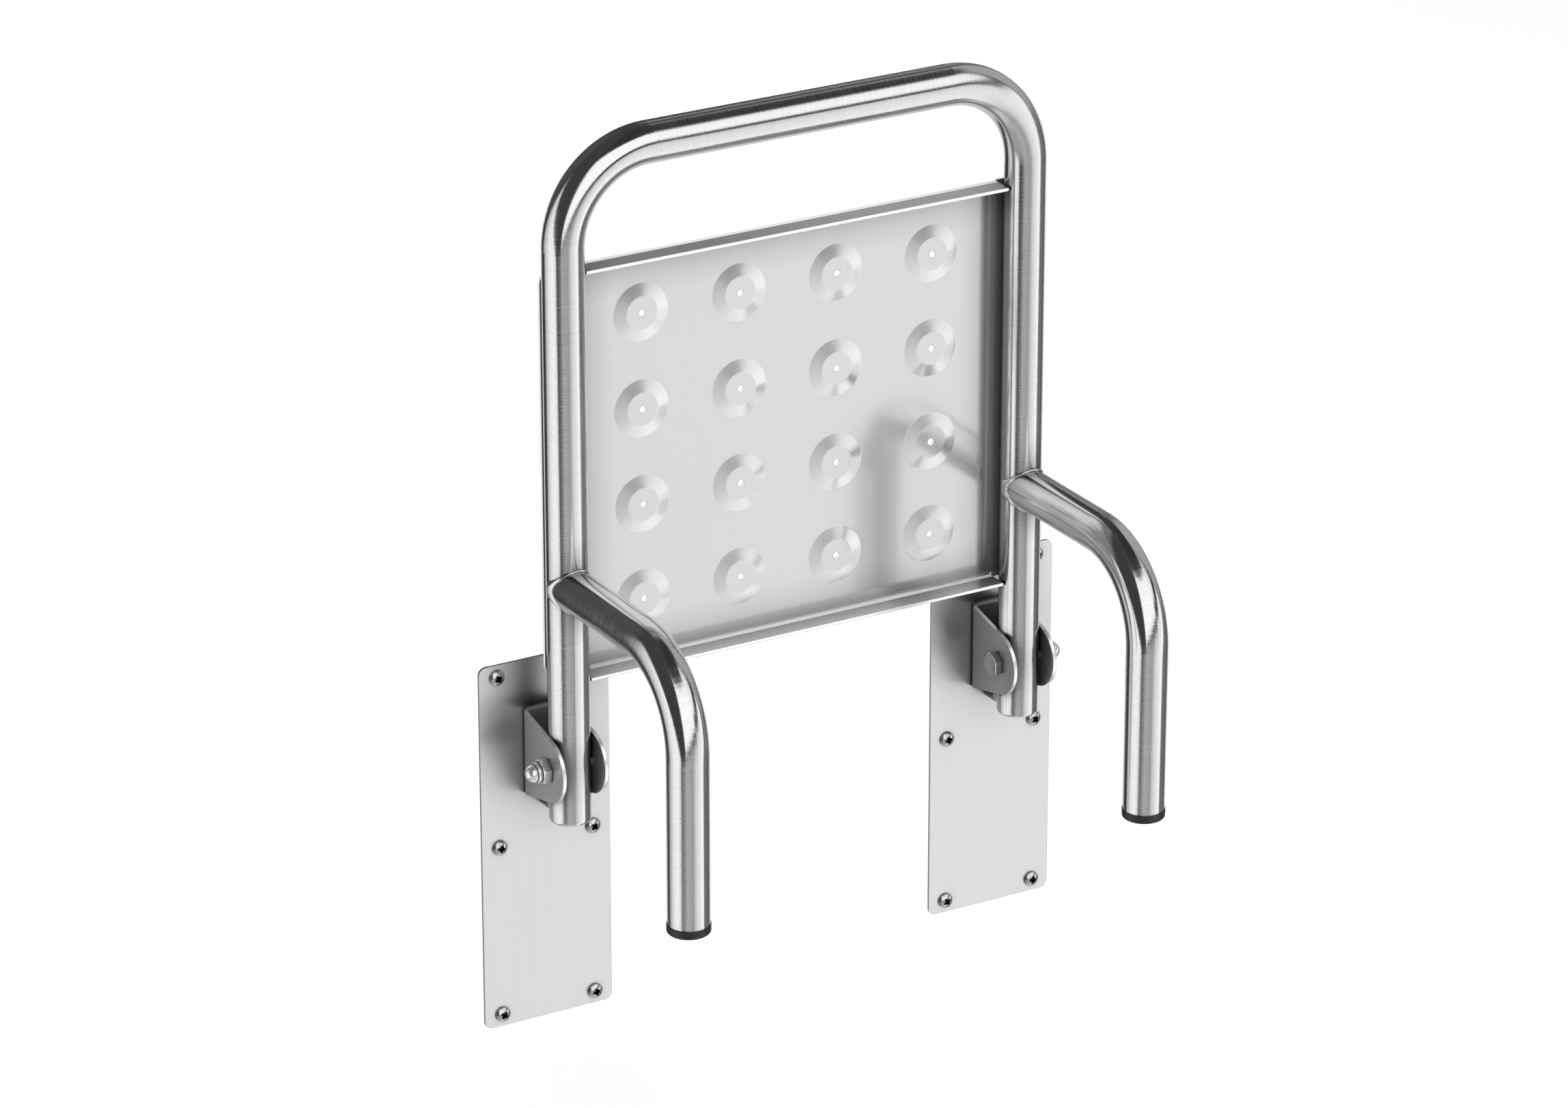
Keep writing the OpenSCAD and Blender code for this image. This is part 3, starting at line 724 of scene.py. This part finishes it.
def screwMesh(settings):
    radius, rim, height = settings["radius"], settings["rim"], settings["height"]
    cap = height - rim
    ball = (radius ** 2 + cap ** 2) / (2 * cap)
    edge, footEdge, shank, neck = (settings[key] for key in ("edge", "footEdge", "shank", "neck"))
    back = -settings["plate"]
    end = back - settings["reach"]
    profile = [(end, 0), (end, settings["tip"]), (end + settings["taper"], shank), (back, shank),
               (back, neck), (0, neck), (0, radius - footEdge), (footEdge, radius),
               (rim - edge, radius)]
    for step in range(1, settings["edgeSteps"] + 1):
        turn = radians(settings["edgeAngle"] * step / settings["edgeSteps"])
        profile.append((rim - edge + edge * sin(turn), radius - edge + edge * cos(turn)))
    reach = radius - edge * settings["domeInset"]
    for step in range(1, settings["domeSteps"] + 1):
        across = reach * (1 - step / settings["domeSteps"])
        profile.append((height - ball + (ball ** 2 - across ** 2) ** 0.5, across))
    head = bmesh.new()
    turnProfile(head, profile)
    tool = bmesh.new()
    length, width = settings["armLength"], settings["armWidth"]
    tip, inner = settings["armTip"], settings["corner"]
    outline = [(length - tip, -width), (length, 0), (length - tip, width), (inner, inner)]
    outline = [(x, y, height - settings["deep"]) for x, y in outline]
    corners = []
    for quarter in range(4):
        turned = Matrix.Rotation(radians(90 * quarter), 3, "Z")
        corners += [tool.verts.new(turned @ Vector(point)) for point in outline]
    foot = tool.faces.new(corners)
    lifted = bmesh.ops.extrude_face_region(tool, geom=[foot])["geom"]
    top = [item for item in lifted if isinstance(item, bmesh.types.BMVert)]
    bmesh.ops.translate(tool, vec=(0, 0, settings["deep"]), verts=top)
    share = settings["footShare"]
    bmesh.ops.scale(tool, vec=(share, share, 1), verts=corners)
    bmesh.ops.recalc_face_normals(tool, faces=tool.faces)
    mesh = combineSolids(meshFrom(head, "head"), meshFrom(tool, "recess"), "DIFFERENCE")
    for face in mesh.polygons:  # what lies under the dome near the axis is the recess
        place = Vector(face.center)
        across = Vector((place.x, place.y)).length
        dome = height - ball + (ball ** 2 - across ** 2) ** 0.5
        if across < length + settings["slack"] and 0 < place.z < dome - settings["skin"]:
            # the recess faces take the painted shade
            face.material_index = 1
    return mesh


screw = screwMesh(screwShape)
facing = Matrix(((1, 0, 0, 0), (0, 0, -1, 0), (0, 1, 0, 0), (0, 0, 0, 1)))  # +Z to -Y
for label, side in sides.items():
    parts = []
    for index, turn in enumerate(screwShape["turns"]):
        place = (side * tubeX + screwShape["across"] * (1, -1)[index % 2], screwShape["front"],
                 screwShape["heights"][index // 2])
        parts.append((screw, Matrix.Translation(place) @ facing
                      @ Matrix.Rotation(radians(turn * side), 4, "Z")))
    placePiece("screw_set_" + label, parts, [screwSteel, recessShade], "wall_mounts",
               "wall_screws_" + label, screwShape["sharp"])
print("wall screws made")


# dome nuts outside and bolt heads inside the hinge

boltShape = {
    "acrossFlats": 18.0, "clearance": 0.4, "crownShare": 0.95, "crownAngle": 30,
    "seatHeight": 0.45, "seatRadius": 8.8, "head": 6.5, "nutTall": 7.0,
    "shank": 6.0, "shankFrom": 0.2, "chamfer": 0.8, "earOut": 19.4,
    "forward": -0.041,              # metres
    "nutTurn": 12, "sharp": 25,     # degrees
}
domeShape = {
    "foot": 6.0, "groove": 7.2, "collar": 8.0, "collarFrom": 7.55, "collarTo": 10.6,
    # rounded edges, as steps along the axis and out from the radius
    "collarNear": [(0, -0.35), (0.1, -0.1), (0.35, 0)],
    "collarFar": [(-0.5, 0), (-0.15, -0.12), (0, -0.5)],
    "root": 6.3, "ballAt": 11.0, "ball": 7.0, "ballFoot": [(0, -0.25), (0.2, -0.03)],
    "ballAngle": 2, "ballSteps": 12,
}


def domeMesh(settings):
    collar, start, end = settings["collar"], settings["collarFrom"], settings["collarTo"]
    foot, groove, root = settings["foot"], settings["groove"], settings["root"]
    middle, ball, steps = settings["ballAt"], settings["ball"], settings["ballSteps"]
    profile = [(foot, 0), (foot, groove), (start, groove)]
    profile += [(start + along, collar + out) for along, out in settings["collarNear"]]
    profile += [(end + along, collar + out) for along, out in settings["collarFar"]]
    profile += [(end, root), (middle, root)]
    profile += [(middle + along, ball + out) for along, out in settings["ballFoot"]]
    first = settings["ballAngle"]
    for step in range(1, steps + 1):
        turn = radians(first + (90 - first) * step / steps)
        profile.append((middle + ball * sin(turn), ball * cos(turn) if step < steps else 0))
    shape = bmesh.new()
    turnProfile(shape, profile)
    return meshFrom(shape, "dome")


def shankMesh(settings):
    end = -(2 * settings["earOut"] + settings["nutTall"] - overlap)
    radius, chamfer, start = settings["shank"], settings["chamfer"], settings["shankFrom"]
    shape = bmesh.new()
    turnProfile(shape, [(end, 0), (end, radius - chamfer), (end + chamfer, radius),
                        (start, radius), (start, 0)])
    return meshFrom(shape, "shank")


def alongX(side, start):
    # local +Z runs along X towards side, local +Y stays up
    turned = Matrix(((0, 0, side, 0), (side, 0, 0, 0), (0, 1, 0, 0), (0, 0, 0, 1)))
    return Matrix.Translation((start, boltShape["forward"], 0)) @ turned


nutParts = hexagonBlock(boltShape, boltShape["nutTall"]) + [domeMesh(domeShape)]
headParts = hexagonBlock(boltShape, boltShape["head"]) + [shankMesh(boltShape)]
for label, side in sides.items():
    outer = alongX(side, side * (tubeX + boltShape["earOut"] * toMetres))
    outer = outer @ Matrix.Rotation(radians(boltShape["nutTurn"] * side), 4, "Z")
    placePiece("cap_nut_" + label, [(mesh, outer) for mesh in nutParts], [nutSteel],
               "pivot_bolts", "dome_nut_" + label, boltShape["sharp"])
    inner = alongX(-side, side * (tubeX - boltShape["earOut"] * toMetres))
    placePiece("hex_bolt_" + label, [(mesh, inner) for mesh in headParts], [boltSteel],
               "pivot_bolts", "pivot_bolt_" + label, boltShape["sharp"])
print("nuts and bolts made")
